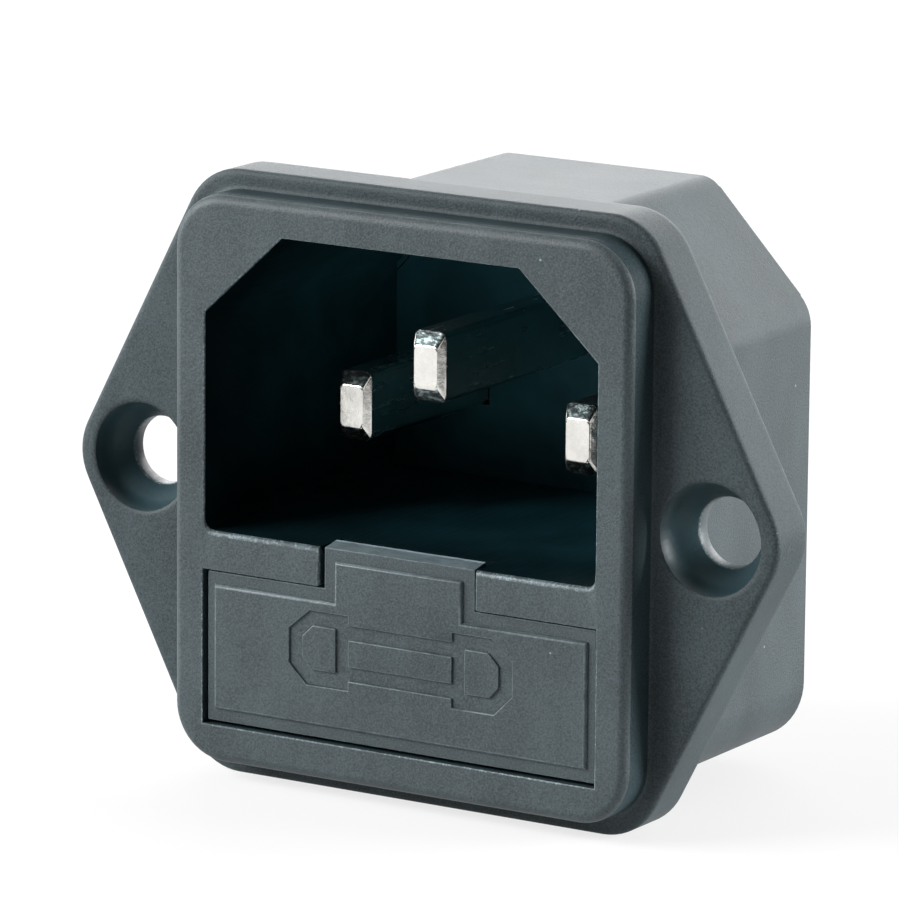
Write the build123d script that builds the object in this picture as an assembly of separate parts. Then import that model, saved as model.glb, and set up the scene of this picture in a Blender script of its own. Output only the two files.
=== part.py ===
from build123d import *
import os

# Mains inlet with a pull-out fuse drawer, for a panel with two screws.
# Millimetres. +X is to the right seen from the front, +Y runs back through the panel, +Z is up.
# The origin is midway between the two screw holes, on the rear face of the flange,
# which is the face that meets the panel.

# Flange and bezel share one middle height, a little under the line of the screws
middle_z = -0.15

# Flange, the plate that the two screws hold. Its width is to the points where its sloping edges meet
hole_spacing = 36.0
flange_thick = 3.0
flange_width = 45.0
flange_height = 33.6
flange_shoulder = 13.8
flange_tip_radius = 3.4
flange_corner_radius = 3.6
flange_edge_radius = 0.25
screw_bore = 3.8
screw_head_bore = 6.1
screw_head_straight = 0.9
screw_cone_depth = 1.25

# Bezel, the frame that stands proud in front of the flange
bezel_proud = 2.25
bezel_width = 28.8
bezel_height = 31.5
bezel_corner_radius = 3.1
bezel_edge_radius = 0.6

# Body, the tube that goes through the panel
body_width = 26.4
body_top = 15.35
body_bottom = -15.9
body_depth = 16.15
body_top_flat = 13.6
body_chamfer_drop = 6.75
body_top_radius = 1.6
body_side_radius = 2.4
body_bottom_radius = 3.6

# Socket for the mains plug
socket_width = 24.7
socket_bottom = -2.95
socket_height = 16.6
socket_top_flat = 14.8
socket_chamfer_drop = 4.55
socket_corner_radius = 0.6
socket_draft = 0.25

# Rear base, the insert that closes the body and carries the contacts
base_thick = 2.3
base_recess = 0.1
base_rim = 0.9
base_clearance = 0.05

# Contact pins of the socket
pin_pitch = 14.0
pin_thick = 2.0
pin_height = 3.9
pin_bevel_side = 0.26
pin_bevel_end = 0.8
pin_bevel_length = 0.5
pin_edge_radius = 0.4
pin_tip_radius = 0.25
live_pin_setback = 6.4
live_pin_z = 3.4
earth_pin_setback = 2.8
earth_pin_z = 7.0
pin_hole_clearance = 0.05

# The line pin is a piece of its own on the link, and sits this far off the neutral pin's mirrored place
line_pin_right = 0.2
line_pin_back = 0.25
line_pin_down = 0.2

# Push-on terminal tabs
tab_width = 4.8
tab_thick = 0.8
tab_length = 6.4
tab_hole = 1.4
tab_hole_from_end = 2.6
tab_nose = 0.9
shoulder_thick = 1.2
shoulder_margin = 0.35

# Fuse window and the bay behind it
window_width = 24.9
window_top = -5.12
window_bottom = -13.78
window_depth = 1.8
bay_width = 23.5
bay_top = -5.3
bay_bottom = -13.3
notch_width = 9.9
nail_slot = 1.0

# Fuse drawer
drawer_side_gap = 0.175
drawer_lower_gap = 0.2
drawer_upper_gap = 0.1
drawer_shift = 0.08
plate_thick = 1.7
grip_gap = 0.2
grip_thick = 1.35
grip_rise = 0.2
grip_drop = 0.2
panel_proud = 0.2
panel_inset_side = 0.45
panel_inset_edge = 0.7
plate_edge_radius = 0.12
tray_gap = 0.15
tray_divider = 1.0
trough_gap = 0.15
cradle_width = 9.2
cradle_wall = 0.7
cradle_over = 1.0
cradle_mouth = 4.3

# 5 x 20 mm glass cartridge fuse
fuse_length = 20.0
cap_diameter = 5.2
cap_length = 5.0
cap_wall = 0.15
cap_end = 0.4
glass_diameter = 4.8
glass_wall = 0.6
fuse_wire = 0.3
fuse_end_gap = 0.35

# Spring clips that take the ends of the fuse, their rivets, and the link to the line pin
clip_thick = 0.4
clip_width = 4.4
clip_grip_gap = 0.15
clip_flare = 0.45
clip_flare_length = 1.0
clip_bend = 0.8
clip_reach = 2.3
rivet_shank = 1.6
rivet_head = 3.0
rivet_head_thick = 0.5
rivet_clearance = 0.05
link_width = 4.6
link_thick = 0.8
link_channel_gap = 0.2
peg_thick = 1.2
peg_height = 2.6
terminal_bend = 1.0
link_end_radius = 1.0

# How far a cut runs past the faces that it opens
overrun = 1.0

# Depths, all measured from the rear face of the flange
flange_front = -flange_thick
bezel_front = flange_front - bezel_proud
base_rear = body_depth - base_recess
base_front = base_rear - base_thick
window_back = bezel_front + window_depth
plate_back = bezel_front + plate_thick
live_pin_tip = bezel_front + live_pin_setback
line_pin_tip = live_pin_tip + line_pin_back
earth_pin_tip = bezel_front + earth_pin_setback
tab_end = base_rear + tab_length

# Middle of the line pin, seen from the front
line_pin_x = pin_pitch / 2 + line_pin_right
line_pin_z = live_pin_z - line_pin_down

# Places inside the drawer
fuse_z = (bay_top + bay_bottom) / 2
trough_radius = cap_diameter / 2 + trough_gap
spare_fuse_y = plate_back + trough_radius
divider_back = spare_fuse_y + trough_radius + tray_divider
fuse_y = divider_back + trough_radius
cradle_radius = glass_diameter / 2 + trough_gap
tray_back = fuse_y + cradle_radius + cradle_wall
tray_half = bay_width / 2 - drawer_side_gap
clip_x = (fuse_length - cap_length) / 2


def front_plane(y):
    """Plane at depth y for a sketch seen from the front. What is extruded from it grows forwards."""
    return Plane(origin=(0, y, 0), x_dir=(1, 0, 0), z_dir=(0, -1, 0))


def slab(sketch, y_front, y_back):
    """Solid that carries a front-view outline from one depth to another."""
    return extrude(front_plane(y_back) * sketch, y_back - y_front)


def rounded_polygon(points, radii):
    """Closed outline whose corners are rounded by the radius given for each, or sharp at 0."""
    outline = make_face(Polyline(*points, close=True))
    for point, radius in zip(points, radii):
        if radius > 0:
            corner = outline.vertices().sort_by_distance(Vector(*point))[0]
            outline = fillet(corner, radius)
    return outline


def block(x_low, x_high, y_low, y_high, z_low, z_high):
    """Box between two corners."""
    size = (x_high - x_low, y_high - y_low, z_high - z_low)
    middle = ((x_high + x_low) / 2, (y_high + y_low) / 2, (z_high + z_low) / 2)
    return Pos(*middle) * Box(*size)


def rod(radius, x_low, x_high, y, z):
    """Round bar along X."""
    return Pos((x_low + x_high) / 2, y, z) * Rot(Y=90) * Cylinder(radius, x_high - x_low)


def turned(profile, x, z):
    """Solid of revolution about an axis along Y. The profile pairs are radius and depth."""
    section = make_face(Polyline(*profile, close=True))
    return Pos(x, 0, z) * revolve(section, Axis.Y)


def coffin(width, z_bottom, z_top, top_flat, chamfer_drop, radii):
    """Six-sided outline, upper corners cut off. The radii are of the bottom, side and top corners."""
    half = width / 2
    side_top = z_top - chamfer_drop
    flat = top_flat / 2
    points = [
        (-half, z_bottom),
        (half, z_bottom),
        (half, side_top),
        (flat, z_top),
        (-flat, z_top),
        (-half, side_top),
    ]
    bottom, side, top = radii
    return rounded_polygon(points, [bottom, bottom, side, top, top, side])


def body_outline():
    radii = (body_bottom_radius, body_side_radius, body_top_radius)
    return coffin(body_width, body_bottom, body_top, body_top_flat, body_chamfer_drop, radii)


def flange_outline():
    top = middle_z + flange_height / 2
    bottom = middle_z - flange_height / 2
    points = [
        (flange_width / 2, 0),
        (flange_shoulder, top),
        (-flange_shoulder, top),
        (-flange_width / 2, 0),
        (-flange_shoulder, bottom),
        (flange_shoulder, bottom),
    ]
    tip = flange_tip_radius
    corner = flange_corner_radius
    return rounded_polygon(points, [tip, corner, corner, tip, corner, corner])


def socket_outline(inset):
    radii = (socket_corner_radius, 0, 0)
    z_top = socket_bottom + socket_height - inset
    width = socket_width - 2 * inset
    flat = socket_top_flat - 2 * inset
    return coffin(width, socket_bottom + inset, z_top, flat, socket_chamfer_drop, radii)


def socket_space():
    """Plug cavity, a little narrower at its floor so that the moulding core can leave it."""
    front = front_plane(bezel_front) * socket_outline(0)
    back = front_plane(base_front) * socket_outline(socket_draft)
    return loft([front, back])


def screw_hole_space(x):
    """Recess for a screw head: a straight bore, a cone under it, and the clearance hole."""
    head = screw_head_bore / 2
    shank = screw_bore / 2
    cone_top = flange_front + screw_head_straight
    cone_bottom = cone_top + screw_cone_depth
    before = flange_front - overrun
    profile = [
        (0, before),
        (head, before),
        (head, cone_top),
        (shank, cone_bottom),
        (shank, overrun),
        (0, overrun),
    ]
    return turned(profile, x, 0)


def housing():
    """Moulded shell in one piece: bezel, flange and body, with the socket and the fuse drawer's bay."""
    flange = slab(flange_outline(), flange_front, 0)
    flange = fillet(flange.faces().sort_by(Axis.Y)[0].edges(), flange_edge_radius)
    frame = Pos(0, middle_z) * RectangleRounded(bezel_width, bezel_height, bezel_corner_radius)
    bezel = slab(frame, bezel_front, flange_front)
    bezel = fillet(bezel.faces().sort_by(Axis.Y)[0].edges(), bezel_edge_radius)
    body = slab(body_outline(), 0, body_depth)
    shell = flange + bezel + body
    shell -= socket_space()
    half = window_width / 2
    shell -= block(-half, half, bezel_front, window_back, window_bottom, window_top)
    half = bay_width / 2
    shell -= block(-half, half, window_back, base_front, bay_bottom, bay_top)
    half = notch_width / 2
    notch_back = bezel_front + grip_thick + nail_slot
    shell -= block(-half, half, bezel_front, notch_back, bay_top, socket_bottom + overrun)
    shell -= slab(offset(body_outline(), -base_rim), base_front, body_depth)
    for side in (-1, 1):
        shell -= screw_hole_space(side * hole_spacing / 2)
    return shell


def pin_hole(x, z):
    """Hole through the base for a pin's blade."""
    half_x = pin_thick / 2 + pin_hole_clearance
    half_z = pin_height / 2 + pin_hole_clearance
    return block(x - half_x, x + half_x, base_front, base_rear, z - half_z, z + half_z)


def shoulder_pocket(x, z):
    """Pocket in the rear of the base that takes a pin's shoulder."""
    half_x = pin_thick / 2 + shoulder_margin + pin_hole_clearance
    half_z = tab_width / 2 + shoulder_margin + pin_hole_clearance
    front = base_rear - shoulder_thick
    return block(x - half_x, x + half_x, front, base_rear, z - half_z, z + half_z)


def rivet_hole(x, y_front, y_back):
    """Clearance hole for a clip rivet's shank."""
    radius = rivet_shank / 2 + rivet_clearance
    return turned([(0, y_front), (radius, y_front), (radius, y_back), (0, y_back)], x, fuse_z)


def terminal_base():
    """Insert that closes the rear of the body: pin holes, rivet holes and the channel for the link."""
    plate = slab(offset(body_outline(), -base_rim - base_clearance), base_front, base_rear)
    through_pins = ((0, earth_pin_z), (-pin_pitch / 2, live_pin_z))
    for pin_x, pin_z in (*through_pins, (line_pin_x, line_pin_z)):
        plate -= pin_hole(pin_x, pin_z)
    for pin_x, pin_z in through_pins:
        plate -= shoulder_pocket(pin_x, pin_z)
    x = line_pin_x
    low, high = link_span()
    gap = link_channel_gap
    half = link_width / 2 + gap
    plate -= block(x - half, x + half, link_floor(), base_rear, low - gap, high + gap)
    for side in (-1, 1):
        plate -= rivet_hole(side * clip_x, base_front, base_rear)
    return plate


def link_floor():
    """Depth of the link's front face, at the bottom of its channel."""
    return base_rear - link_thick - link_channel_gap


def link_span():
    """Lowest and highest point of the link."""
    return fuse_z - link_width / 2, line_pin_z + link_width / 2


def pin_blade(x, z, y_tip, y_back):
    """Flat contact pin with rounded long edges and a bevelled tip."""
    full = Pos(x, z) * RectangleRounded(pin_thick, pin_height, pin_edge_radius)
    tip_thick = pin_thick - 2 * pin_bevel_side
    tip_height = pin_height - 2 * pin_bevel_end
    small = Pos(x, z) * RectangleRounded(tip_thick, tip_height, pin_tip_radius)
    bevel_back = y_tip + pin_bevel_length
    tip = loft([front_plane(y_tip) * small, front_plane(bevel_back) * full])
    return tip + slab(full, bevel_back, y_back)


def push_on_tab(x, z, y_root):
    """Flat terminal tab with a latch hole and a tapered nose, standing on edge along Y."""
    low, high = z - tab_width / 2, z + tab_width / 2
    points = [
        (y_root, low),
        (tab_end - tab_nose, low),
        (tab_end, low + tab_nose),
        (tab_end, high - tab_nose),
        (tab_end - tab_nose, high),
        (y_root, high),
    ]
    outline = make_face(Polyline(*points, close=True))
    outline -= Pos(tab_end - tab_hole_from_end, z) * Circle(tab_hole / 2)
    return Pos(x - tab_thick / 2, 0, 0) * extrude(Plane.YZ * outline, tab_thick)


def through_pin(x, z, y_tip):
    """Pin with its terminal tab in one piece, held in the base by a shoulder."""
    pocket = base_rear - shoulder_thick
    side = pin_thick / 2 + shoulder_margin
    rise = tab_width / 2 + shoulder_margin
    shoulder = block(x - side, x + side, pocket, base_rear, z - rise, z + rise)
    return pin_blade(x, z, y_tip, pocket) + shoulder + push_on_tab(x, z, base_rear)


def line_pin():
    """Line pin of the socket. It has no tab: a peg on its end is peened over the link."""
    x, z = line_pin_x, line_pin_z
    link_back = link_floor() + link_thick
    peg_x = peg_thick / 2
    peg_z = peg_height / 2
    peg = block(x - peg_x, x + peg_x, link_floor(), link_back, z - peg_z, z + peg_z)
    head_x = peg_x + shoulder_margin
    head_z = peg_z + shoulder_margin
    head_back = link_back + rivet_head_thick
    head = block(x - head_x, x + head_x, link_back, head_back, z - head_z, z + head_z)
    head = chamfer(head.faces().sort_by(Axis.Y)[-1].edges(), rivet_head_thick / 2)
    return pin_blade(x, z, line_pin_tip, link_floor()) + peg + head


def line_link():
    """Strip in the base's channel, from the line pin down to the fuse clip on its side."""
    x, z = line_pin_x, line_pin_z
    low, high = link_span()
    half = link_width / 2
    strip = block(x - half, x + half, link_floor(), link_floor() + link_thick, low, high)
    strip = fillet(strip.edges().filter_by(Axis.Y), link_end_radius)
    peg_x = peg_thick / 2
    peg_z = peg_height / 2
    strip -= block(x - peg_x, x + peg_x, link_floor(), base_rear, z - peg_z, z + peg_z)
    return strip - rivet_hole(clip_x, base_front, base_rear)


def line_terminal():
    """Bent strip on the rear of the base: a foot under the rivet, and the tab for the live wire."""
    foot_y = base_rear + tab_thick / 2
    tab_x = -clip_x + clip_width / 2 + terminal_bend
    points = [(-clip_x - clip_width / 2, foot_y), (tab_x, foot_y), (tab_x, tab_end)]
    run = FilletPolyline(*points, radius=terminal_bend)
    strip = extrude(trace(run, tab_thick), tab_width / 2, both=True)
    strip = Pos(0, 0, fuse_z) * strip
    bend_end = base_rear + tab_thick + terminal_bend
    keep = push_on_tab(tab_x, fuse_z, base_rear)
    keep += block(-body_width / 2, tab_x, base_rear, bend_end, bay_bottom, bay_top)
    return (strip & keep) - rivet_hole(-clip_x, base_rear, tab_end)


def fuse_clip(x):
    """Forked spring that takes one end of the fuse. Its back is riveted to the front of the base."""
    leaf = cap_diameter / 2 + clip_grip_gap + clip_thick / 2
    back = base_front - clip_thick / 2
    mouth = fuse_y - clip_reach
    bend = mouth + clip_flare_length
    points = [
        (mouth, leaf + clip_flare),
        (bend, leaf),
        (back, leaf),
        (back, -leaf),
        (bend, -leaf),
        (mouth, -leaf - clip_flare),
    ]
    run = FilletPolyline(*points, radius=clip_bend)
    fork = extrude(Plane.YZ * trace(run, clip_thick), clip_width / 2, both=True)
    return Pos(x, 0, fuse_z) * fork - rivet_hole(x, back - clip_thick, base_rear)


def clip_rivet(x, y_back):
    """Rivet through a clip and the base, with a bevelled head at each end."""
    front = base_front - clip_thick
    shank = rivet_shank / 2
    head = rivet_head / 2
    rim = rivet_head_thick / 2
    profile = [
        (0, front - rivet_head_thick),
        (head - rim, front - rivet_head_thick),
        (head, front - rim),
        (head, front),
        (shank, front),
        (shank, y_back),
        (head, y_back),
        (head, y_back + rim),
        (head - rim, y_back + rivet_head_thick),
        (0, y_back + rivet_head_thick),
    ]
    return turned(profile, x, fuse_z)


def drawer_front():
    """Front plate of the drawer, its grip tab above, and the raised panel that follows their outline."""
    half = window_width / 2 - drawer_side_gap
    top = window_top - drawer_upper_gap
    bottom = window_bottom + drawer_lower_gap
    grip = notch_width / 2 - grip_gap
    grip_top = socket_bottom + grip_rise
    plate_front = bezel_front + panel_proud
    plate = block(-half, half, plate_front, plate_back, bottom, top)
    section = [
        (plate_front, top - overrun),
        (plate_front, grip_top - grip_drop),
        (bezel_front + grip_thick, grip_top),
        (bezel_front + grip_thick, top - overrun),
    ]
    plate += extrude(Plane.YZ * make_face(Polyline(*section, close=True)), grip, both=True)
    side = panel_inset_side
    edge = panel_inset_edge
    rise = block(-half + side, half - side, bezel_front, plate_front, bottom + edge, top - edge)
    tab_top = grip_top - grip_drop - edge
    rise += block(-grip + edge, grip - edge, bezel_front, plate_front, bottom + edge, tab_top)
    rise = chamfer(rise.faces().sort_by(Axis.Y)[0].edges(), plate_edge_radius)
    return plate + rise


def drawer_tray():
    """Tray behind the plate: side arms, a trough for the spare fuse, a cradle for the one in use."""
    floor_z = bay_bottom + tray_gap
    wall_z = fuse_z + cradle_over
    arm_top = bay_top - tray_gap - drawer_shift
    tray = block(-tray_half, tray_half, plate_back, divider_back, floor_z, wall_z)
    half = cradle_width / 2
    tray += block(-half, half, divider_back, tray_back, floor_z, wall_z)
    reach = fuse_length / 2 + fuse_end_gap
    for low, high in ((-tray_half, -reach), (reach, tray_half)):
        tray += block(low, high, plate_back, tray_back, floor_z, arm_top)
    tray -= rod(trough_radius, -reach, reach, spare_fuse_y, fuse_z)
    tray -= block(-reach, reach, plate_back, spare_fuse_y + trough_radius, fuse_z, arm_top)
    tray -= rod(cradle_radius, -half, half, fuse_y, fuse_z)
    mouth = cradle_mouth / 2
    tray -= block(-half, half, fuse_y - mouth, fuse_y + mouth, fuse_z, arm_top)
    return tray


def fuse_drawer():
    return Pos(drawer_shift, 0, 0) * (drawer_front() + drawer_tray())


def glass_tube(y):
    half = fuse_length / 2 - cap_end
    outer = glass_diameter / 2
    return rod(outer, -half, half, y, fuse_z) - rod(outer - glass_wall, -half, half, y, fuse_z)


def end_cap(side, y):
    """Drawn metal cap: a thin cup with its closed end outwards."""
    outer = fuse_length / 2
    inner = outer - cap_length
    floor = outer - cap_end
    bore = cap_diameter / 2 - cap_wall
    low, high = sorted((side * inner, side * outer))
    cup = rod(cap_diameter / 2, low, high, y, fuse_z)
    low, high = sorted((side * inner, side * floor))
    return cup - rod(bore, low, high, y, fuse_z)


def element(y):
    half = fuse_length / 2 - cap_end
    return rod(fuse_wire / 2, -half, half, y, fuse_z)


def fuse_parts(prefix, y):
    """The four pieces of one cartridge fuse, by name, placed in the drawer."""
    place = Pos(drawer_shift, 0, 0)
    return {
        prefix + "fuse_tube": place * glass_tube(y),
        prefix + "fuse_cap_left": place * end_cap(-1, y),
        prefix + "fuse_cap_right": place * end_cap(1, y),
        prefix + "fuse_wire": place * element(y),
    }


parts = {
    "housing": housing(),
    "terminal_base": terminal_base(),
    "earth_pin": through_pin(0, earth_pin_z, earth_pin_tip),
    "neutral_pin": through_pin(-pin_pitch / 2, live_pin_z, live_pin_tip),
    "line_pin": line_pin(),
    "line_link": line_link(),
    "line_terminal": line_terminal(),
    "fuse_clip_left": fuse_clip(-clip_x),
    "fuse_clip_right": fuse_clip(clip_x),
    "clip_rivet_left": clip_rivet(-clip_x, base_rear + tab_thick),
    "clip_rivet_right": clip_rivet(clip_x, link_floor() + link_thick),
    "fuse_drawer": fuse_drawer(),
}
parts.update(fuse_parts("", fuse_y))
parts.update(fuse_parts("spare_", spare_fuse_y))

os.makedirs("parts", exist_ok=True)
for name, solid in parts.items():
    export_step(solid, f"parts/{name}.step")
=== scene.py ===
import math
from functools import cached_property

import bmesh
import bpy
import numpy as np
from bpy.props import FloatProperty, FloatVectorProperty, IntProperty, PointerProperty
from mathutils import Matrix, Vector


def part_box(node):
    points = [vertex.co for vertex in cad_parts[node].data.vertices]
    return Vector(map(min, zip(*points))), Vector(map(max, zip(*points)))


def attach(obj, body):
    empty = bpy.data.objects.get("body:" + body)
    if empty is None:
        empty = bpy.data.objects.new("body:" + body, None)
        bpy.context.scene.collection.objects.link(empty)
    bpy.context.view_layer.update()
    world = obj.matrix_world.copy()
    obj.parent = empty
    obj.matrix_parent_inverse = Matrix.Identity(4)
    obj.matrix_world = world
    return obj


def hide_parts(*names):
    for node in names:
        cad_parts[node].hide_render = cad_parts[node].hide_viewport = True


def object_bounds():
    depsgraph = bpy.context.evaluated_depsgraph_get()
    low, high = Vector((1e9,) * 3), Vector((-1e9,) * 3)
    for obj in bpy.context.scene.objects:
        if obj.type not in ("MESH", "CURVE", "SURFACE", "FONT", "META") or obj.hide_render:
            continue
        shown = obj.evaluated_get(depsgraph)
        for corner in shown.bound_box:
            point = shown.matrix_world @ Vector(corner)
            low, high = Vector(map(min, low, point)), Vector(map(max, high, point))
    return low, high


bl_info = {
    "name": "Power entry module",
    "version": (1, 0, 0),
    "blender": (4, 5, 0),
    "location": "3D View > Sidebar > Inlet",
    "description": "Dresses the mains inlet with its fuse drawer: mouldings, contacts, fuses and studio",
    "category": "Object",
}

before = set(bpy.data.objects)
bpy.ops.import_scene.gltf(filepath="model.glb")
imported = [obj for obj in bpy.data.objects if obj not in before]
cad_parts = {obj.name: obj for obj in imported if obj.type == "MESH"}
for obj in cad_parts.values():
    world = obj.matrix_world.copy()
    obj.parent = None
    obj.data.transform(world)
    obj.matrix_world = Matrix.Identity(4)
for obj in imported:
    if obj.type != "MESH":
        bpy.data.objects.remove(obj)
cad_box = [list(corner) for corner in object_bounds()]

MM = 0.001
WELD = 1e-6

# Edges that turn by more than BEVEL_ANGLE are rounded. Shading breaks where faces meet at more than
# SHARP, and on the cutters of the fuse sign at more than CRISP.
BEVEL_ANGLE = math.radians(30)
SHARP = math.radians(62)
CRISP = 0.5

# How wide the drawer's and the base's edges are rounded against the housing's, and how many times as
# wide as its other edges the housing's lip between socket and drawer is
DRAWER_EDGES = 0.7
BASE_EDGES = 0.5
LIP_WIDTHS = 3

# Fuse sign on the drawer, in millimetres from its centre: x to the right, z up.
# A cap is a six-sided ring, given for the right-hand side by its outer and inner corners.
SIGN_CENTRE = (0.24, -8.6)
CAP_OUTER = np.array(
    [(3.29, 2.06), (5.75, 2.06), (7.06, 0.95), (7.06, -0.95), (5.95, -2.06), (3.29, -2.06)]
)
CAP_INNER = np.array(
    [(4.08, 1.27), (5.55, 1.27), (6.22, 0.62), (6.22, -0.58), (5.68, -1.2), (4.08, -1.2)]
)
BAR_OUTER = 1.53
BAR_INNER = 0.75
BAR_HALF = 3.4

# Bounds of the housing's hollows, which have smooth walls
SOCKET_HALF = 12.45 * MM
SOCKET_TOP = 13.75 * MM
SOCKET_BOTTOM = -3.05 * MM
BAY_BOTTOM = -13.85 * MM
WINDOW_DEPTH = 1.8 * MM
HOLE_SPACING = 36.0 * MM
RECESS_RADIUS = 3.15 * MM
BORE_RADIUS = 1.95 * MM

# Front of the flange, and how near a face or an edge lies to a plane or a rim that it belongs to
FLANGE_FRONT = -3.0 * MM
EDGE_BAND = 0.05 * MM
RIM_BAND = 0.3 * MM

# The grip tab's ledge: its depth, how far below the tab's top it lies at most, and the width of the
# painted highlight, a bright line near its rear edge
GRIP_DEPTH = 1.35 * MM
GRIP_FALL = 0.5 * MM
REAR_HIGHLIGHT = 0.12 * MM

# How far the bevels at a pin's tip reach back
PIN_BEVEL = 0.5 * MM

# Part of the unit normal by which a face counts as a side of the bezel, which gets painted shade, as a
# bevel at a pin's tip, and as looking up on the grip tab
SIDE_SHADE_SLOPE = 0.3
BEVEL_SLOPE = 0.35
LEDGE_SLOPE = 0.2

# Material slots of the housing, whose first three the rear base has too, of the drawer's edges and
# ledge, and of a pin
TEXTURED, SMOOTH, WORN_LIT, BORED, FLANGE, RECESSED, SHADED_SIDES = range(7)
DRAWER_EDGE, SCUFFED_LIT = 1, 2
PLATED, SHEARED, ROUNDED = range(3)

# Gloss of the nylon
NYLON_IOR = 1.53
NYLON_SHEEN = 0.3

# Painted light in the socket: its walls are made lighter from the first depth to the second, and from
# the first height up to the second, with the floor's part of the full change
PAINTED_LIGHT_DEPTHS = (-5.0 * MM, 14.0 * MM)
PAINTED_LIGHT_HEIGHTS = (-3.0 * MM, 2.0 * MM)
FLOOR_PART = 0.45

# How bright the torn bevels at the tip of each pin are painted, as a painted reflection that differs
# from pin to pin
BEVEL_PAINTED_REFLECTION = {"earth_pin": 0.5, "neutral_pin": 0.15, "line_pin": 0.23}

# Steps of the curves on a fuse: round a corner, along a cap's side, along the wire and round the wire
CORNER_STEPS = 7
CAP_STEPS = 60
WIRE_STEPS = 90
WIRE_FACETS = 16

# Half the floor's side, and the part of pure white that the camera and reflections see in it
FLOOR_HALF = 3.0
FLOOR_WHITE = 0.75
WHITE = (1.0, 1.0, 1.0, 1.0)

# The black card: its distance and height, and the azimuths from front to right where it stands
CARD_DISTANCE = 0.13
CARD_HEIGHT = 0.14
CARD_TURNS = np.radians([8.0, 80.0])

# Where the photograph was taken from
CAMERA_PLACE = np.array([198.2418, -318.5044, 84.3243]) * MM
CAMERA_RIGHT = (0.84800861, 0.52991503, 0.00845293)
CAMERA_UP = (-0.12131411, 0.17856031, 0.97642158)
IMAGE_WIDTH = 899
FOCAL_PIXELS = 7133.27
SENSOR_WIDTH = 36.0


# Shader expressions


class Value:
    """One output of a shader node. Arithmetic on it adds Math nodes, so that 1 - mask works."""

    def __init__(self, shader, output):
        self.shader = shader
        self.output = output

    def math(self, operation, *others):
        values = dict(enumerate((self, *others)))
        return self.shader.add("ShaderNodeMath", values, operation=operation)

    def __add__(self, other):
        return self.math("ADD", other)

    def __sub__(self, other):
        return self.math("SUBTRACT", other)

    def __rsub__(self, other):
        return self.shader.add("ShaderNodeMath", {0: other, 1: self}, operation="SUBTRACT")

    def __mul__(self, other):
        return self.math("MULTIPLY", other)

    def __gt__(self, other):
        return self.math("GREATER_THAN", other)

    def smooth(self, low, high):
        """0 below low, 1 above high, and a soft step between them."""
        values = {"Value": self, "From Min": low, "From Max": high}
        return self.shader.add("ShaderNodeMapRange", values, interpolation_type="SMOOTHSTEP")

    __radd__ = __add__
    __rmul__ = __mul__


class Shader:
    """Node tree of a new material, or of a new world."""

    def __init__(self, name, library="materials"):
        self.owner = getattr(bpy.data, library).new(name)
        self.owner.use_nodes = True
        self.tree = self.owner.node_tree
        self.tree.nodes.clear()

    def add(self, kind, inputs=None, output=0, **settings):
        """Adds a node with its settings, feeds its sockets numbers or outputs, and returns an output."""
        node = self.tree.nodes.new(kind)
        for key, value in settings.items():
            setattr(node, key, value)
        for key, value in (inputs or {}).items():
            if isinstance(value, Value):
                self.tree.links.new(value.output, node.inputs[key])
            else:
                node.inputs[key].default_value = value
        return Value(self, node.outputs[output])

    @cached_property
    def place(self):
        """Object coordinates."""
        return self.add("ShaderNodeTexCoord", output="Object")

    def along(self, axis):
        """Object coordinate along X, Y or Z."""
        return self.add("ShaderNodeSeparateXYZ", {"Vector": self.place}, output=axis)

    def ray(self, kind):
        """1 on what a ray of this kind meets, such as Camera, and 0 on the rest."""
        return self.add("ShaderNodeLightPath", output=f"Is {kind} Ray")

    def noise(self, size, detail=2.0, place=None, rough=0.5):
        """Cloudy pattern from 0 to 1, with features about size metres across."""
        values = {"Vector": place or self.place, "Scale": 1 / size, "Detail": detail, "Roughness": rough}
        return self.add("ShaderNodeTexNoise", values)

    def stretch(self, scale):
        """Object coordinates multiplied by scale, for a pattern with a direction."""
        values = {0: self.place, 1: scale}
        return self.add("ShaderNodeVectorMath", values, operation="MULTIPLY")

    def dots(self, size, share, radius):
        """Sparse round specks: 1 inside a speck. share is the part of the cells that has one."""
        values = {"Vector": self.place, "Scale": 1 / size}
        cell = self.add("ShaderNodeTexVoronoi", values, output="Color")
        distance = self.add("ShaderNodeTexVoronoi", values, output="Distance")
        chosen = self.add("ShaderNodeSeparateColor", {"Color": cell}) > 1 - share
        return chosen * (1 - distance.smooth(radius * 0.6, radius))

    def blend(self, factor, low, high):
        """Colour between low and high."""
        values = {"Factor": factor, 6: low, 7: high}
        return self.add("ShaderNodeMix", values, output=2, data_type="RGBA")

    def bump(self, height, depth, base=None):
        """Normal of a surface raised by height, at most depth metres. base is the normal before it."""
        values = {"Height": height, "Distance": depth}
        if base:
            values["Normal"] = base
        return self.add("ShaderNodeBump", values, output="Normal")

    def surface(self, **inputs):
        """Principled surface. Underscores in the names stand for spaces."""
        named = {key.replace("_", " "): value for key, value in inputs.items()}
        return self.add("ShaderNodeBsdfPrincipled", named)

    def nylon(self, colour, rough, normal, sheen=NYLON_SHEEN):
        """Principled surface with the gloss of nylon."""
        gloss = {"IOR": NYLON_IOR, "Specular_IOR_Level": sheen}
        return self.surface(Base_Color=colour, Roughness=rough, Normal=normal, **gloss)

    def finish(self, surface, sink="ShaderNodeOutputMaterial"):
        """Joins the surface to an output node, and returns the material or world."""
        output = self.tree.nodes.new(sink)
        self.tree.links.new(surface.output, output.inputs["Surface"])
        return self.owner


def rgba(colour):
    """A colour as a shader's socket takes it."""
    return (*colour, 1.0)


def tone(colour, factor):
    """A colour made lighter or darker."""
    return (*(min(1.0, channel * factor) for channel in colour), 1.0)


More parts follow.
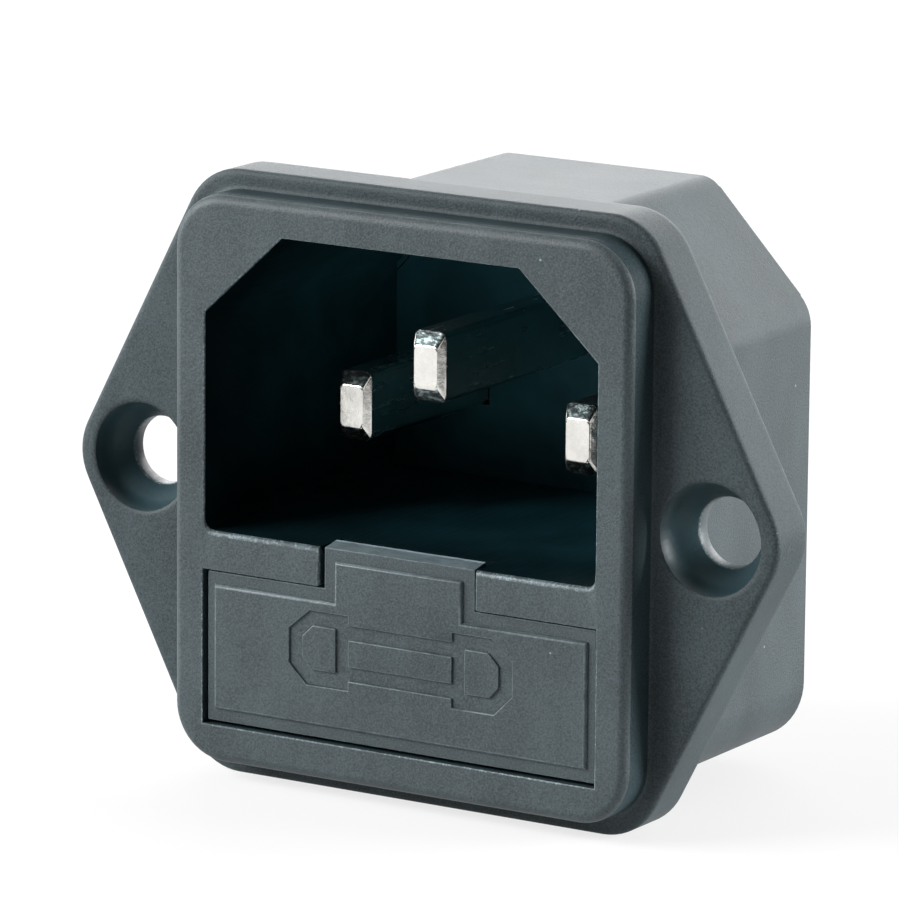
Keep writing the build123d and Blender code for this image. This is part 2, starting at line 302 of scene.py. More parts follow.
def eroded_plastic(name, look, base, rounding=0.0, sheen=NYLON_SHEEN):
    """Black nylon with the fine pits of a spark-eroded mould, faint clouds and a few pale specks.

    base is its colour. With a rounding, faces are shaded as if their edges were rounded by that radius.
    """
    s = Shader(name)
    pits = s.noise(look.grain, 3.0, rough=0.6)
    coarse = s.noise(look.grain * 4, 2.0)
    clouds = s.noise(look.grain * 90, 3.0)
    flow = s.noise(look.grain * 25, 2.0, s.stretch((1.0, 1.0, 0.35)))
    specks = s.dots(look.grain * 8, 0.02, 0.1)
    shade = clouds * 0.25 + flow * 0.15 + pits * 0.6
    colour = s.blend(shade.smooth(0.3, 0.7), tone(base, 0.5), tone(base, 1.55))
    colour = s.blend(specks, colour, tone(base, 4.0))
    rough = look.roughness + (pits - 0.5) * 0.3 + (clouds - 0.5) * 0.1
    height = pits * 0.75 + coarse * 0.25
    soft = s.add("ShaderNodeBevel", {"Radius": rounding}, samples=8) if rounding else None
    normal = s.bump(height, look.grain_depth, soft)
    return s.finish(s.nylon(colour, rough, normal, sheen))


def worn_highlight_plastic(name, look, nick=4.2):
    """The same nylon on a rounded edge: burnished by handling and lighter than the rest, partly as a
    painted highlight, with pale nicks along it.

    nick is the tone of the nicks.
    """
    s = Shader(name)
    rub_and_highlight = s.noise(1.1 * MM, 4.0, rough=0.7)
    nicks = s.noise(0.16 * MM, 2.0, rough=0.7).smooth(0.48, 0.68) * rub_and_highlight.smooth(0.35, 0.5)
    # Painted highlight: the edge is lighter than the nylon, partly from burnish by handling and partly
    # standing in for the light that the rounding catches
    colour = s.blend(rub_and_highlight.smooth(0.35, 0.65), tone(look.colour, 1.1), tone(look.colour, 2.0))
    colour = s.blend(nicks, colour, tone(look.colour, nick))
    rough = look.roughness - 0.08 + (rub_and_highlight - 0.5) * 0.15
    normal = s.bump(s.noise(look.grain, 3.0), look.grain_depth * 0.5)
    return s.finish(s.nylon(colour, rough, normal))


def scuffed_lit_plastic(name, look):
    """Grip tab's ledge, lighter from nail drags and as painted light, with a painted highlight at its
    rear.
    """
    s = Shader(name)
    drag = s.noise(0.25 * MM, 3.0, s.stretch((0.25, 1.0, 1.0)), rough=0.65)
    patches = s.noise(1.2 * MM, 3.0)
    nicks = s.noise(0.16 * MM, 2.0, rough=0.7).smooth(0.6, 0.75)
    # Painted highlight: a bright line near the ledge's rear edge
    rear = (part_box("fuse_drawer")[0].y + GRIP_DEPTH) - REAR_HIGHLIGHT
    line = s.along("Y").smooth(rear - REAR_HIGHLIGHT, rear)
    shade = drag * 0.6 + patches * 0.4
    # Painted light: the ledge is lighter than the nylon, partly from nail drags and partly standing in for
    # the light on it
    colour = s.blend(shade.smooth(0.35, 0.65), tone(look.colour, 1.7), tone(look.colour, 2.7))
    colour = s.blend(nicks, colour, tone(look.colour, 4.0))
    colour = s.blend(line * drag.smooth(0.2, 0.6), colour, tone(look.colour, 6.0))
    rough = look.roughness + (drag - 0.5) * 0.2
    normal = s.bump(drag, look.grain_depth)
    return s.finish(s.nylon(colour, rough, normal))


def polished_plastic(name, look, colour, sheen=0.08, near=0.5, far=6.0):
    """Smooth walls pulled off a polished core, with faint draw lines along the depth.

    colour is the walls' colour; the near-black one in the socket and the darker one in the screws'
    recesses are painted shade. near and far are the tones at the front and at the back of the walls, and
    a lighter back is painted light. The floor of the socket gets only a part of the change from one to the
    other.
    """
    s = Shader(name)
    drag = s.noise(0.18 * MM, 3.0, s.stretch((1.0, 0.04, 1.0)))
    clouds = s.noise(4.0 * MM, 3.0)
    depth = s.along("Y").smooth(*PAINTED_LIGHT_DEPTHS)
    height = s.along("Z").smooth(*PAINTED_LIGHT_HEIGHTS)
    # Painted light: the walls get lighter towards the back and above the floor
    painted_light = depth * (height * (1 - FLOOR_PART) + FLOOR_PART)
    low = s.blend(painted_light, tone(colour, near * 0.8), tone(colour, far * 0.8))
    high = s.blend(painted_light, tone(colour, near * 1.2), tone(colour, far * 1.2))
    colour = s.blend(clouds.smooth(0.3, 0.7), low, high)
    rough = look.inner_roughness + (drag - 0.5) * 0.2 + (clouds - 0.5) * 0.08
    normal = s.bump(drag, look.grain_depth * 0.35)
    gloss = {"Specular_IOR_Level": sheen}
    return s.finish(s.surface(Base_Color=colour, Roughness=rough, Normal=normal, **gloss))


def plated_metal(name, colour, roughness, along, dirt, lean=0.0):
    """Plated contact metal: fine rolling lines along one direction, soft stains and small scratches.

    dirt is how dark the stains are, from 0 to 1. lean is the slope by which a face that looks sideways
    is shaded as if it looked more to the front, as on a bevel that is rounded over.
    """
    s = Shader(name)
    lines = s.noise(0.06 * MM, 2.0, s.stretch(along))
    stains = s.noise(1.6 * MM, 4.0, rough=0.6)
    dents = s.noise(0.7 * MM, 2.0)
    wisps = s.noise(0.5 * MM, 3.0, s.stretch(along), rough=0.7)
    shade = s.blend(stains.smooth(0.42, 0.75) * dirt, rgba(colour), tone(colour, 0.55))
    shade = s.blend(lines.smooth(0.4, 0.7) * 0.35, shade, tone(colour, 0.8))
    rough = roughness + (stains - 0.5) * 0.16 + wisps.smooth(0.55, 0.8) * 0.14
    normal = s.bump(lines * 0.15 + wisps * 0.1 + dents, 0.03 * MM)
    if lean:
        normal = s.bump(s.along("Y") * lean, 1.0, normal)
    return s.finish(s.surface(Base_Color=shade, Metallic=1.0, Roughness=rough, Normal=normal))


def sheared_metal(name, colour):
    """End bevels of the pins as the stamping tool leaves them: torn bands and pocks in a duller plate."""
    s = Shader(name)
    bands = s.noise(0.3 * MM, 3.0, s.stretch((0.6, 1.0, 1.0)), rough=0.65)
    pocks = s.noise(0.12 * MM, 2.0)
    shade = s.blend(bands.smooth(0.45, 0.68), tone(colour, 0.15), tone(colour, 1.0))
    rough = 0.45 + (pocks - 0.5) * 0.3
    normal = s.bump(bands * 0.7 + pocks * 0.3, 0.08 * MM)
    return s.finish(s.surface(Base_Color=shade, Metallic=1.0, Roughness=rough, Normal=normal))


def clear_glass(name, tint):
    """Drawn glass tube with slow waves in its wall and a little dust."""
    s = Shader(name)
    waves = s.noise(2.5 * MM, 2.0, s.stretch((0.3, 1.0, 1.0)))
    dust = s.noise(0.4 * MM, 4.0, rough=0.7).smooth(0.62, 0.8)
    normal = s.bump(waves, 0.03 * MM)
    rough = 0.03 + dust * 0.2
    colour = s.blend(dust, rgba(tint), (0.8, 0.82, 0.8, 1.0))
    values = {"Transmission_Weight": 1.0, "IOR": 1.5}
    return s.finish(s.surface(Base_Color=colour, Roughness=rough, Normal=normal, **values))


# Meshes


def new_object(name, mesh):
    """Adds an object with this mesh, at the origin, to the scene."""
    piece = bpy.data.objects.new(name, mesh)
    bpy.context.scene.collection.objects.link(piece)
    return piece


def grid_mesh(name, points, wrap_u, wrap_v):
    """Mesh of quads over an array of points with two parameters u and v.

    points has the shape (u, v, 3). A wrapped direction joins its last row to its first.
    """
    rows, columns = points.shape[:2]
    index = np.arange(rows * columns).reshape(rows, columns)
    if wrap_u:
        index = np.concatenate([index, index[:1]], axis=0)
    if wrap_v:
        index = np.concatenate([index, index[:, :1]], axis=1)
    corners = (index[:-1, :-1], index[1:, :-1], index[1:, 1:], index[:-1, 1:])
    faces = np.stack(corners, axis=-1).reshape(-1, 4)
    mesh = bpy.data.meshes.new(name)
    mesh.from_pydata(points.reshape(-1, 3).tolist(), [], faces.tolist())
    return mesh


def tidy_mesh(mesh, sharp_angle):
    """Welds the poles of a surface, turns its faces outwards, and shades it smooth up to an angle."""
    bm = bmesh.new()
    bm.from_mesh(mesh)
    bmesh.ops.remove_doubles(bm, verts=bm.verts, dist=WELD)
    bmesh.ops.recalc_face_normals(bm, faces=bm.faces)
    soften(bm, sharp_angle)
    bm.to_mesh(mesh)
    bm.free()
    return mesh


def soften(bm, sharp_angle):
    """Smooth shading, with an edge left sharp where its faces meet at more than the angle."""
    for face in bm.faces:
        face.smooth = True
    for edge in bm.edges:
        edge.smooth = edge.calc_face_angle(0.0) < sharp_angle


def merged_copy(node, name):
    """Copy of a CAD node with its loose triangles welded."""
    bm = bmesh.new()
    bm.from_mesh(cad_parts[node].data)
    bmesh.ops.remove_doubles(bm, verts=bm.verts, dist=WELD)
    mesh = bpy.data.meshes.new(name)
    bm.to_mesh(mesh)
    bm.free()
    return new_object(name, mesh)


def add_materials(piece, *materials):
    """Fills the piece's material slots in order."""
    for material in materials:
        piece.data.materials.append(material)


def freeze(piece):
    """Replaces a piece's mesh by what its modifiers make of it."""
    graph = bpy.context.evaluated_depsgraph_get()
    mesh = bpy.data.meshes.new_from_object(piece.evaluated_get(graph))
    piece.modifiers.clear()
    piece.data = mesh


def choose_edges(mesh, share):
    """Weights for the bevel: on an edge that stands out sharply its share of the width, 0 on the rest.

    share gives the part for the edges' two ends, and is at most 1.
    """
    bm = bmesh.new()
    bm.from_mesh(mesh)
    weight = bm.edges.layers.float.new("bevel_weight_edge")
    ends = np.array([[vert.co[:] for vert in edge.verts] for edge in bm.edges])
    for edge, part in zip(bm.edges, share(ends[:, 0], ends[:, 1])):
        if edge.calc_face_angle_signed(0.0) > BEVEL_ANGLE:
            edge[weight] = part
    bm.to_mesh(mesh)
    bm.free()


def everywhere(start, end):
    """The full width on every edge."""
    return np.ones(len(start))


def round_edges(piece, width, edge_slot, share=everywhere):
    """Rounds every outer edge by a small bevel whose faces take the material in edge_slot."""
    choose_edges(piece.data, share)
    bevel = piece.modifiers.new("Rounded edges", "BEVEL")
    bevel.width = width
    bevel.segments = 2
    bevel.limit_method = "WEIGHT"
    bevel.use_clamp_overlap = False
    bevel.material = edge_slot
    bevel.miter_outer = "MITER_ARC"
    freeze(piece)
    tidy_mesh(piece.data, SHARP)
    weigh = piece.modifiers.new("Flat faces stay flat", "WEIGHTED_NORMAL")
    weigh.mode = "FACE_AREA"
    weigh.weight = 90
    weigh.keep_sharp = True


def ring_mesh(name, loops, y_front, y_back):
    """Closed ring for cutting, between two depths.

    loops are its outer and its inner outline, with as many points each. The ring's section runs round
    as front outer, front inner, back inner, back outer.
    """
    outer, inner = loops
    section = [(outer, y_front), (inner, y_front), (inner, y_back), (outer, y_back)]
    x0, z0 = SIGN_CENTRE
    points = [
        np.stack([loop[:, 0] + x0, np.full(len(loop), depth), loop[:, 1] + z0], axis=-1)
        for loop, depth in section
    ]
    return tidy_mesh(grid_mesh(name, np.stack(points) * MM, True, True), CRISP)


def lathe(name, profile, steps, x_middle, y, z):
    """Surface of revolution about a line along X: each (x, radius) of the profile goes round in steps."""
    turn = np.linspace(0, 2 * np.pi, steps, endpoint=False)
    x, radius = profile.T
    ring = np.stack([np.zeros(steps), np.cos(turn), np.sin(turn)], axis=-1)
    points = radius[:, None, None] * ring[None]
    points[:, :, 0] = x[:, None]
    points += np.array([x_middle, y, z])
    return tidy_mesh(grid_mesh(name, points, False, True), sharp_angle=math.radians(35))


def wire(name, path, radius, steps):
    """Round wire: a circle of the given radius carried along a path that runs mostly along X."""
    turn = np.linspace(0, 2 * np.pi, steps, endpoint=False)
    circle = np.stack([np.zeros(steps), np.cos(turn), np.sin(turn)], axis=-1)
    points = path[:, None, :] + radius[:, None, None] * circle[None]
    return tidy_mesh(grid_mesh(name, points, False, True), sharp_angle=math.radians(60))


# Sizes and colours that a user would change


class InletMoulding(bpy.types.PropertyGroup):
    colour: FloatVectorProperty(
        name="Outside colour", description="Colour of the textured black nylon",
        subtype="COLOR", size=3, min=0, max=1, default=(0.046, 0.062, 0.068),
    )
    # Painted shade: the bezel's sides take this darker colour, standing in for the shade on them
    side_shade_colour: FloatVectorProperty(
        name="Side shade colour", description="Colour of the bezel's sides, which slide off the mould",
        subtype="COLOR", size=3, min=0, max=1, default=(0.027, 0.043, 0.049),
    )
    # Painted shade: the walls of the screws' recesses take this darker colour, standing in for the shade
    # in them
    recess_shade_colour: FloatVectorProperty(
        name="Recess colour", description="Colour of the walls of the screws' recesses",
        subtype="COLOR", size=3, min=0, max=1, default=(0.027, 0.056, 0.066),
    )
    # Painted shade: the smooth walls inside the socket and the rear base's front take this near-black
    # colour, standing in for the shade deep in the socket
    inner_shaded_colour: FloatVectorProperty(
        name="Inside colour", description="Colour of the smooth walls inside the socket",
        subtype="COLOR", size=3, min=0, max=1, default=(0.0032, 0.0150, 0.0190),
    )
    roughness: FloatProperty(
        name="Roughness", description="Roughness of the textured faces",
        min=0, max=1, subtype="FACTOR", default=0.52,
    )
    inner_roughness: FloatProperty(
        name="Inside roughness", description="Roughness of the smooth walls inside the socket",
        min=0, max=1, subtype="FACTOR", default=0.42,
    )
    grain: FloatProperty(
        name="Grain", description="Width of one pit of the moulded texture",
        unit="LENGTH", min=0.00002, max=0.001, precision=5, default=0.00011,
    )
    grain_depth: FloatProperty(
        name="Grain depth", description="Depth of the pits",
        unit="LENGTH", min=0, max=0.0002, precision=6, default=0.000035,
    )
    edge_width: FloatProperty(
        name="Edge width", description="Width of the rounding on the moulding's sharp edges",
        unit="LENGTH", min=0.00001, max=0.0005, precision=5, default=0.00009,
    )
    # Painted shade: this tone darkens the whole flange a little, standing in for the shade that the bezel
    # casts beside it
    flange_shade_tone: FloatProperty(
        name="Flange tone", description="How bright the flange is against the rest of the outside",
        min=0.5, max=1.5, default=0.94,
    )
    flange_rounding: FloatProperty(
        name="Flange rounding", description="Radius by which the flange's edges are shaded as rounded",
        unit="LENGTH", min=0.0001, max=0.001, precision=5, default=0.0005,
    )
    sign_depth: FloatProperty(
        name="Sign depth", description="Depth of the fuse sign that is sunk into the drawer's front",
        unit="LENGTH", min=0.00005, max=0.0006, precision=5, default=0.00014,
    )


class InletMetal(bpy.types.PropertyGroup):
    nickel: FloatVectorProperty(
        name="Nickel", description="Colour of the plated pins and fuse caps",
        subtype="COLOR", size=3, min=0, max=1, default=(0.78, 0.77, 0.73),
    )
    sheared: FloatVectorProperty(
        name="Sheared metal", description="Colour of the torn plate on the pins' end bevels",
        subtype="COLOR", size=3, min=0, max=1, default=(0.62, 0.77, 0.77),
    )
    tinned: FloatVectorProperty(
        name="Tinned brass", description="Colour of the clips, link and terminals",
        subtype="COLOR", size=3, min=0, max=1, default=(0.66, 0.64, 0.58),
    )
    roughness: FloatProperty(
        name="Roughness", description="Roughness of the plated surfaces",
        min=0, max=1, subtype="FACTOR", default=0.24,
    )
    edge_width: FloatProperty(
        name="Edge width", description="Width of the rounding on the pins' edges",
        unit="LENGTH", min=0.00001, max=0.0003, precision=5, default=0.00005,
    )


class InletFuse(bpy.types.PropertyGroup):
    tint: FloatVectorProperty(
        name="Glass tint", description="Colour of the fuse's glass",
        subtype="COLOR", size=3, min=0, max=1, default=(0.96, 0.99, 0.975),
    )
    steps: IntProperty(
        name="Steps", description="Facets round the fuse's caps", min=16, max=128, default=64,
    )
    crimp: FloatProperty(
        name="Crimp", description="Depth of the rolled groove that grips the glass",
        unit="LENGTH", min=0, max=0.0003, precision=5, default=0.00009,
    )


class InletStudio(bpy.types.PropertyGroup):
    floor_colour: FloatVectorProperty(
        name="Floor", description="Colour of the floor",
        subtype="COLOR", size=3, min=0, max=1, default=(0.86, 0.86, 0.86),
    )
    bounce: FloatProperty(
        name="Floor bounce", description="Part of the floor's colour that lights the object from below",
        min=0, max=1, subtype="FACTOR", default=0.8,
    )
    key_power: FloatProperty(
        name="Key light", description="Power of the soft lamp in front, to the left",
        unit="POWER", min=0, max=100, default=2.6,
    )
    left_power: FloatProperty(
        name="Left light", description="Power of the lamp at the far left, which grazes the front",
        unit="POWER", min=0, max=100, default=1.1,
    )
    side_power: FloatProperty(
        name="Side light", description="Power of the low lamp behind, to the right",
        unit="POWER", min=0, max=100, default=8.8,
    )
    back_power: FloatProperty(
        name="Back light", description="Power of the large lamp behind and above",
        unit="POWER", min=0, max=100, default=4.15,
    )
    sky: FloatProperty(
        name="Surround", description="Strength of the even light from all round",
        min=0, max=2, default=0.05,
    )


# Operators


class INLET_OT_housing(bpy.types.Operator):
    """Dresses the moulded housing: rounded edges, textured outside and smooth socket walls"""

    bl_idname = "inlet.housing"
    bl_label = "Housing"

    def execute(self, context):
        look = context.scene.inlet_moulding
        shell = merged_copy("housing", "moulded_housing")
        # Painted shade and highlight: the flange is darkened a little, the socket's walls, the screws'
        # recess walls and the bezel's sides take darker colours, and the edges are lighter, partly as
        # painted highlight
        flange_shaded_colour = [look.flange_shade_tone * channel for channel in look.colour]
        add_materials(
            shell,
            eroded_plastic("Textured black nylon", look, look.colour),
            polished_plastic("Smooth nylon with painted shade", look, look.inner_shaded_colour),
            worn_highlight_plastic("Burnished nylon edge with painted highlight", look),
            polished_plastic("Drilled black nylon", look, look.colour, sheen=0.6, near=1.0, far=1.0),
            eroded_plastic("Flange nylon", look, flange_shaded_colour, look.flange_rounding, sheen=0.18),
            polished_plastic(
                "Recess nylon with painted shade", look, look.recess_shade_colour, sheen=0.25, near=0.9, far=0.9
            ),
            eroded_plastic("Bezel side nylon with painted shade", look, look.side_shade_colour, sheen=0.08),
        )
        shell.data.polygons.foreach_set("material_index", housing_finish(shell.data))
        round_edges(shell, look.edge_width * LIP_WIDTHS, WORN_LIT, share=housing_share)
        calm_hollow_edges(shell.data)
        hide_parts("housing")
        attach(shell, "base")
        return {"FINISHED"}


def housing_share(start, end):
    """How widely an edge of the housing is rounded: the lip above the drawer's window in full.

    The other edges get a part of it. Those deep in a hollow and the rims of the screws' recesses stay
    sharp.
    """
    middle = (start + end) / 2
    across, depth, up = middle.T
    hollow, bore = hollows(middle)
    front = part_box("housing")[0].y
    rim = np.where(np.abs(across) < SOCKET_HALF, front + RIM_BAND, front)
    part = np.full(len(start), 1 / LIP_WIDTHS)
    lip = (np.abs(depth - front) < EDGE_BAND) & (np.abs(up - SOCKET_BOTTOM) < RIM_BAND)
    part[lip & (np.abs(across) < SOCKET_HALF)] = 1.0
    part[hollow & ~bore & (depth > rim)] = 0.0
    return part


def hollows(points):
    """Which points are within the outline of the socket, of the bay, or of a screw's recess.

    The second mask has those within a screw's bore.
    """
    across, depth, up = points.T
    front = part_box("housing")[0].y
    within = np.abs(across) < SOCKET_HALF
    socket = within & (up < SOCKET_TOP) & (up > SOCKET_BOTTOM)
    bay = within & (up <= SOCKET_BOTTOM) & (up > BAY_BOTTOM) & (depth > front + WINDOW_DEPTH - EDGE_BAND)
    from_screw = np.hypot(np.abs(across) - HOLE_SPACING / 2, up)
    return socket | bay | (from_screw < RECESS_RADIUS), from_screw < BORE_RADIUS


def housing_finish(mesh):
    """Finish of each face of the housing.

    The walls of the hollows are smooth and darkened as painted shade, and those of the screws' bores
    shine. A wall has its centre behind the moulding's front and ahead of its back, and all of its corners
    in a hollow. The flange has a finish of its own, darkened a little as painted shade, which also takes
    in the foot of the bezel, and so have the bezel's sides, which are darkened as painted shade.
    """
    hollow, bore = hollows(read(mesh.vertices, "co", 3))
    across, depth, _ = read(mesh.polygons, "center", 3).T
    low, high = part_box("housing")
    between = (depth > low.y + EDGE_BAND) & (depth < high.y - EDGE_BAND)
    wall = np.where(np.abs(across) < SOCKET_HALF, SMOOTH, RECESSED)
    flange = (depth > FLANGE_FRONT - EDGE_BAND) & (depth < 0)
    # Painted shade: faces on the bezel's sides get the darker side colour
    shaded_sides = (depth <= FLANGE_FRONT - EDGE_BAND) & (read(mesh.polygons, "normal", 3)[:, 1] > -SIDE_SHADE_SLOPE)
    outside = np.where(flange, FLANGE, np.where(shaded_sides, SHADED_SIDES, TEXTURED))
    finish = np.where(every_corner(mesh, hollow) & between, wall, outside)
    return np.where(every_corner(mesh, bore) & between, BORED, finish).astype(np.int32)


def calm_hollow_edges(mesh):
    """Gives the edges deep in the hollows, where nothing rubs, the hollows' smooth finish with its painted
    shade in place of the burnished edge finish with its painted highlight.
    """
    centre = read(mesh.polygons, "center", 3)
    finish = read_slots(mesh)
    hollow, bore = hollows(centre)
    rim = np.where(np.abs(centre[:, 0]) < SOCKET_HALF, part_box("housing")[0].y, FLANGE_FRONT) + RIM_BAND
    deep = hollow & ~bore & (centre[:, 1] > rim) & (finish == WORN_LIT)
    mesh.polygons.foreach_set("material_index", np.where(deep, SMOOTH, finish))


def read_slots(mesh):
    """Material slot of each face."""
    slots = np.empty(len(mesh.polygons), dtype=np.int32)
    mesh.polygons.foreach_get("material_index", slots)
    return slots


def read(items, key, size):
    """One property of a mesh's vertices or faces as an array with a row for each."""
    values = np.empty(len(items) * size)
    items.foreach_get(key, values)
    return values.reshape(-1, size)


def every_corner(mesh, mask):
    """For each face, whether the mask holds at all of its corners."""
    loops = np.empty(len(mesh.loops), dtype=np.int32)
    mesh.loops.foreach_get("vertex_index", loops)
    starts = np.empty(len(mesh.polygons), dtype=np.int32)
    mesh.polygons.foreach_get("loop_start", starts)
    return np.logical_and.reduceat(mask[loops], starts)


class INLET_OT_drawer(bpy.types.Operator):
    """Dresses the fuse drawer and sinks the fuse sign into its front"""

    bl_idname = "inlet.drawer"
    bl_label = "Fuse drawer"

    def execute(self, context):
        look = context.scene.inlet_moulding
        drawer = merged_copy("fuse_drawer", "moulded_drawer")
        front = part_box("fuse_drawer")[0].y
        for mesh in sign_cutters(front - look.sign_depth, front + look.sign_depth):
            carve(drawer, new_object(mesh.name, mesh))
        # Painted light: the drawer's edges are lighter, partly as painted highlight, and its grip ledge is
        # lighter as painted light, with a painted highlight near its rear edge
        add_materials(
            drawer,
            eroded_plastic("Textured drawer nylon", look, look.colour),
            worn_highlight_plastic("Burnished drawer edge with painted highlight", look, nick=2.6),
            scuffed_lit_plastic("Grip ledge with scuffs and painted light", look),
        )
        round_edges(drawer, look.edge_width * DRAWER_EDGES, DRAWER_EDGE, share=drawer_share)
        scuff_and_light_ledge(drawer.data)
        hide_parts("fuse_drawer")
        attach(drawer, "drawer")
        return {"FINISHED"}


def drawer_share(start, end):
    """Every edge of the drawer is rounded, except the grip tab's top front edge, which stays sharp."""
    _, depth, up = ((start + end) / 2).T
    low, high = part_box("fuse_drawer")
    lip = (np.abs(depth - low.y) < EDGE_BAND) & (up > high.z - GRIP_FALL)
    return np.where(lip, 0.0, 1.0)


def scuff_and_light_ledge(mesh):
    """Finish of nail drags and painted light on the faces of the grip tab that look up, near the
    drawer's front and top.
    """
    centre = read(mesh.polygons, "center", 3)
    lift = read(mesh.polygons, "normal", 3)[:, 2]
    low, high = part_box("fuse_drawer")
    near = (centre[:, 1] < low.y + GRIP_DEPTH + EDGE_BAND) & (centre[:, 2] > high.z - GRIP_FALL)
    finish = read_slots(mesh)
    scuffed_lit = near & (lift > LEDGE_SLOPE)
    mesh.polygons.foreach_set("material_index", np.where(scuffed_lit, SCUFFED_LIT, finish))


def sign_cutters(y_front, y_back):
    """What is cut from the drawer's front for the fuse sign: a ring for each cap and two bars between."""
    depths = (y_front / MM, y_back / MM)
    left = np.array([-1.0, 1.0])
    bar = np.array([(-BAR_HALF, 1.0), (BAR_HALF, 1.0)])
    cutters = [
        ring_mesh("cap_right_cutter", (CAP_OUTER, CAP_INNER), *depths),
        ring_mesh("cap_left_cutter", (CAP_OUTER * left, CAP_INNER * left), *depths),
    ]
    for side in (1, -1):
        outer = bar * (1, side * BAR_OUTER)
        inner = bar * (1, side * BAR_INNER)
        cutters.append(bar_mesh("bar_cutter", outer, inner, *depths))
    return cutters


def bar_mesh(name, outer, inner, y_front, y_back):
    """Straight bar between two lines, closed at its ends: a box by its eight corners."""
    x0, z0 = SIGN_CENTRE
    corner = [
        (x + x0, y, z + z0)
        for y in (y_front, y_back)
        for x, z in (outer[0], outer[1], inner[1], inner[0])
    ]
    faces = [(0, 1, 2, 3), (4, 5, 6, 7), (0, 1, 5, 4), (1, 2, 6, 5), (2, 3, 7, 6), (3, 0, 4, 7)]
    mesh = bpy.data.meshes.new(name)
    mesh.from_pydata((np.array(corner) * MM).tolist(), [], faces)
    return tidy_mesh(mesh, CRISP)


def carve(piece, cutter):
    """Takes the cutter's shape out of a piece and removes the cutter."""
    cut = piece.modifiers.new("Sunk sign", "BOOLEAN")
    cut.operation = "DIFFERENCE"
    cut.solver = "EXACT"
    cut.object = cutter
    freeze(piece)
    bpy.data.objects.remove(cutter)


class INLET_OT_base(bpy.types.Operator):
    """Dresses the rear base that carries the contacts"""

    bl_idname = "inlet.base"
    bl_label = "Rear base"

    def execute(self, context):
        look = context.scene.inlet_moulding
        base = merged_copy("terminal_base", "moulded_base")
        # Painted shade and highlight: the base's front, inside the socket, takes the near-black inside
        # colour, and its edges are lighter, partly as painted highlight
        add_materials(
            base,
            eroded_plastic("Rear base nylon", look, look.colour),
            polished_plastic("Rear base inside with painted shade", look, look.inner_shaded_colour),
            worn_highlight_plastic("Rear base edge", look),
        )
        depth = read(base.data.polygons, "center", 3)[:, 1]
        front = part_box("terminal_base")[0].y
        finish = np.where(depth < front + EDGE_BAND, SMOOTH, TEXTURED)
        base.data.polygons.foreach_set("material_index", finish.astype(np.int32))
        round_edges(base, look.edge_width * BASE_EDGES, WORN_LIT)
        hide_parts("terminal_base")
        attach(base, "base")
        return {"FINISHED"}


class INLET_OT_contacts(bpy.types.Operator):
    """Plates the pins, clips, link, terminal and rivets"""

    bl_idname = "inlet.contacts"
    bl_label = "Contacts"

    def execute(self, context):
        look = context.scene.inlet_metal
        along_depth = (1.0, 0.06, 1.0)
        along_height = (1.0, 1.0, 0.06)
        no_direction = (1.0, 1.0, 1.0)
        nickel = plated_metal("Nickel plate", look.nickel, look.roughness, along_depth, dirt=0.35)
        tinned = plated_metal("Tinned brass", look.tinned, look.roughness + 0.08, along_depth, dirt=0.6)
        link = plated_metal("Tinned link", look.tinned, look.roughness + 0.1, along_height, dirt=0.7)
        rivet = plated_metal("Rivet plate", look.nickel, look.roughness + 0.06, no_direction, dirt=0.5)
        rounded = plated_metal(
            "Rounded pin bevel", look.nickel, look.roughness, along_depth, dirt=0.9, lean=0.6
        )
        for node, gloss in BEVEL_PAINTED_REFLECTION.items():
            pin = merged_copy(node, f"plated_{node}")
            # Painted reflection: each pin's sheared bevel is given its own brightness
            painted_reflection_colour = [gloss * channel for channel in look.sheared]
            add_materials(pin, nickel, sheared_metal(f"Sheared bevel of {node}", painted_reflection_colour), rounded)
            pin.data.polygons.foreach_set("material_index", end_bevels(pin.data))
            round_edges(pin, look.edge_width, PLATED)
            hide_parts(node)
            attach(pin, "base")
        finishes = {
            "line_link": link,
            "line_terminal": tinned,
            "fuse_clip_left": tinned,
            "fuse_clip_right": tinned,
            "clip_rivet_left": rivet,
            "clip_rivet_right": rivet,
        }
        for node, material in finishes.items():
            dress(node, material)
        return {"FINISHED"}


def end_bevels(mesh):
    """Finish of a pin's faces: sheared where the tip slopes up or down, rounded where it does sideways."""
    depth = read(mesh.polygons, "center", 3)[:, 1]
    across, _, lift = np.abs(read(mesh.polygons, "normal", 3)).T
    near_tip = depth < depth.min() + PIN_BEVEL
    finish = np.where(near_tip & (across > BEVEL_SLOPE), ROUNDED, PLATED)
    return np.where(near_tip & (lift > BEVEL_SLOPE), SHEARED, finish).astype(np.int32)


def dress(node, material):
    """Gives a CAD node that keeps its own mesh a better material."""
    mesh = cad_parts[node].data
    mesh.materials.clear()
    mesh.materials.append(material)


class INLET_OT_fuses(bpy.types.Operator):
    """Makes the two cartridge fuses: glass, rolled end caps, solder and the thin wire"""

    bl_idname = "inlet.fuses"
    bl_label = "Fuses"

    def execute(self, context):
        look = context.scene.inlet_fuse
        metal = context.scene.inlet_metal
        glass = clear_glass("Fuse glass", look.tint)
        cap = plated_metal("Fuse cap plate", metal.nickel, metal.roughness, (0.2, 1.0, 1.0), dirt=0.4)
        element = plated_metal("Fuse wire metal", metal.tinned, 0.3, (0.1, 1.0, 1.0), dirt=0.3)
        for prefix in ("", "spare_"):
            dress(prefix + "fuse_tube", glass)
            for side in ("left", "right"):
                node = f"{prefix}fuse_cap_{side}"
                piece = new_object(f"{prefix}rolled_cap_{side}", cap_mesh(node, side, look))
                add_materials(piece, cap)
                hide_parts(node)
                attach(piece, "drawer")
            node = prefix + "fuse_wire"
            piece = new_object(prefix + "fuse_element", element_mesh(node))
            add_materials(piece, element)
            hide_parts(node)
            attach(piece, "drawer")
        return {"FINISHED"}


